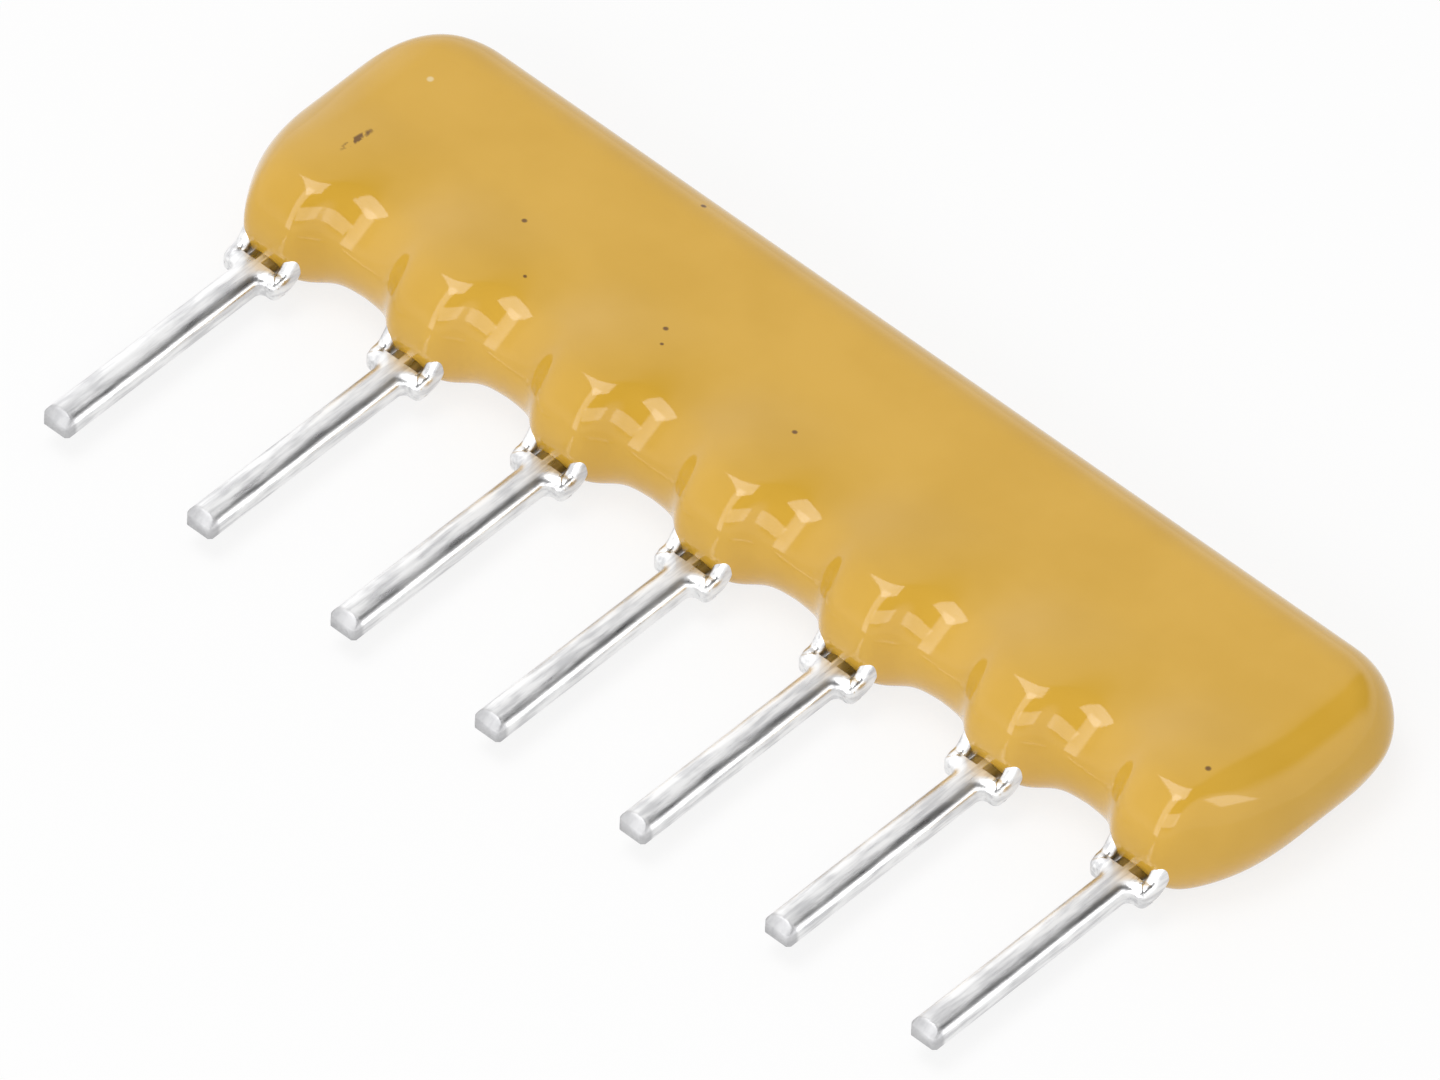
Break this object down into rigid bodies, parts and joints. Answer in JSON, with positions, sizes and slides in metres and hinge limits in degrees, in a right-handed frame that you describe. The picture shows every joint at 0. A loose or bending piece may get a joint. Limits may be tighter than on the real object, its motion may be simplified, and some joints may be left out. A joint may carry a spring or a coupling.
{
  "type": "resistor network",
  "caption": "Single-in-line thick-film resistor network: a dipped golden-yellow epoxy body with a scalloped lower edge and a row of flat tinned pins.",
  "frame": {"origin": "centre of the bounding box at the flat back of the coating, on which it lies", "axes": "+X along the pin row away from the common pin, +Y from the pin tips to the body, +Z out of the ridged front"},
  "size_m": [0.0176, 0.0082, 0.0017],
  "materials": {
    "epoxy": "gloss",
    "tin": "satin",
    "alumina": "matte",
    "silver_film": "satin",
    "resistor_ink": "matte",
    "green_glass": "gloss",
    "solder": "satin"
  },
  "bodies": {
    "root": {"coating": "epoxy", "ceramic_substrate": "alumina", "bus_conductor": "silver_film", "overglaze": "green_glass", "pad_2": "silver_film", "pad_3": "silver_film", "pad_4": "silver_film", "pad_5": "silver_film", "pad_6": "silver_film", "pad_7": "silver_film", "resistor_1": "resistor_ink", "resistor_2": "resistor_ink", "resistor_3": "resistor_ink", "resistor_4": "resistor_ink", "resistor_5": "resistor_ink", "resistor_6": "resistor_ink", "terminal_1": "tin", "terminal_2": "tin", "terminal_3": "tin", "terminal_4": "tin", "terminal_5": "tin", "terminal_6": "tin", "terminal_7": "tin", "solder_1": "solder", "solder_2": "solder", "solder_3": "solder", "solder_4": "solder", "solder_5": "solder", "solder_6": "solder", "solder_7": "solder"}
  },
  "joints": []
}
